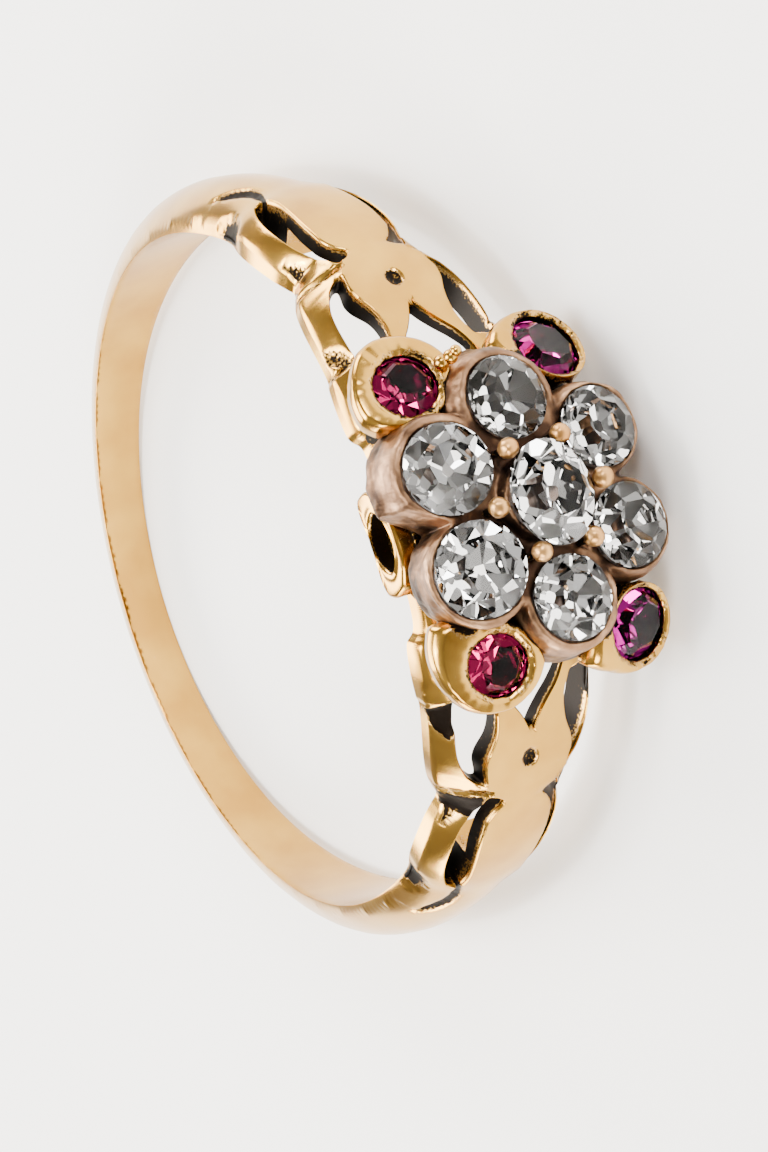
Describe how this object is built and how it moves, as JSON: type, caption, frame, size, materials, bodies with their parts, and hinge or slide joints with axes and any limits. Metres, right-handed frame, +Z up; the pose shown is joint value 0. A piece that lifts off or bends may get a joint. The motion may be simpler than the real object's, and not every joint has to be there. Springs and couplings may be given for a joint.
{
  "type": "diamond and ruby cluster ring",
  "caption": "Antique gold cluster ring: diamonds in a scalloped setting with rubies in the notches, on pierced leaf shoulders and a slim hoop, lying on its side.",
  "frame": {"origin": "centre of the finger hole", "axes": "+Z up from the surface the ring lies on, -Y towards the jewelled head, +X towards one shoulder; the hole's axis leans 8.6 degrees from +Z towards +Y"},
  "size_m": [0.0192, 0.0221, 0.0071],
  "materials": {
    "yellow_gold": "polished, softly worn",
    "cluster_metal": "matte, tarnished",
    "diamond": "polished facets",
    "ruby": "polished facets"
  },
  "bodies": {
    "root": {"gold_mount": "yellow_gold", "cluster_setting": "cluster_metal", "bead_claw_1": "yellow_gold", "bead_claw_2": "yellow_gold", "bead_claw_3": "yellow_gold", "bead_claw_4": "yellow_gold", "bead_claw_5": "yellow_gold", "bead_claw_6": "yellow_gold", "diamond_1": "diamond", "diamond_2": "diamond", "diamond_3": "diamond", "diamond_4": "diamond", "diamond_5": "diamond", "diamond_6": "diamond", "diamond_7": "diamond", "ruby_1": "ruby", "ruby_2": "ruby", "ruby_3": "ruby", "ruby_4": "ruby"}
  },
  "joints": []
}
